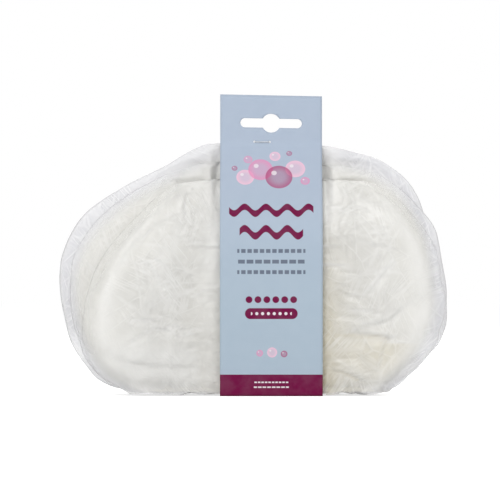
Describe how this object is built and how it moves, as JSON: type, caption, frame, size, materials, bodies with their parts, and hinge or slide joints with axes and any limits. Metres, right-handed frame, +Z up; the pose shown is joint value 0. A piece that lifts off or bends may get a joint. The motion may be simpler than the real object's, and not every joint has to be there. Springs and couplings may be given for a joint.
{
  "type": "shower cap pack",
  "caption": "Retail pack of gathered translucent film shower caps, folded flat and held upright in a light-blue card sleeve with a hang slot and a staple.",
  "frame": {"origin": "centre of the underside of the sleeve's base, which stands on a shelf", "axes": "+Z up, -Y the printed front of the sleeve, +X to the right seen from the front, the way the caps are drawn out"},
  "size_m": [0.2021, 0.0554, 0.156],
  "materials": {
    "card": "smooth coated light-blue card",
    "staple_wire": "bright drawn wire",
    "film": "thin translucent milky film, crinkled",
    "elastic": "matt off-white flat elastic"
  },
  "bodies": {
    "sleeve": {"card_sleeve": "card", "staple": "staple_wire"},
    "cap_1": {"cap_1_film": "film", "cap_1_elastic": "elastic"},
    "cap_2": {"cap_2_film": "film", "cap_2_elastic": "elastic"},
    "cap_3": {"cap_3_film": "film", "cap_3_elastic": "elastic"},
    "cap_4": {"cap_4_film": "film", "cap_4_elastic": "elastic"},
    "cap_5": {"cap_5_film": "film", "cap_5_elastic": "elastic"},
    "cap_6": {"cap_6_film": "film", "cap_6_elastic": "elastic"}
  },
  "joints": [
    {"name": "cap_1_slide", "type": "slide", "parent": "sleeve", "child": "cap_1", "axis": [1, 0, 0], "range_m": [-0.125, 0.14]},
    {"name": "cap_2_slide", "type": "slide", "parent": "sleeve", "child": "cap_2", "axis": [1, 0, 0], "range_m": [-0.125, 0.14]},
    {"name": "cap_3_slide", "type": "slide", "parent": "sleeve", "child": "cap_3", "axis": [1, 0, 0], "range_m": [-0.125, 0.14]},
    {"name": "cap_4_slide", "type": "slide", "parent": "sleeve", "child": "cap_4", "axis": [1, 0, 0], "range_m": [-0.125, 0.14]},
    {"name": "cap_5_slide", "type": "slide", "parent": "sleeve", "child": "cap_5", "axis": [1, 0, 0], "range_m": [-0.125, 0.14]},
    {"name": "cap_6_slide", "type": "slide", "parent": "sleeve", "child": "cap_6", "axis": [1, 0, 0], "range_m": [-0.125, 0.14]}
  ]
}
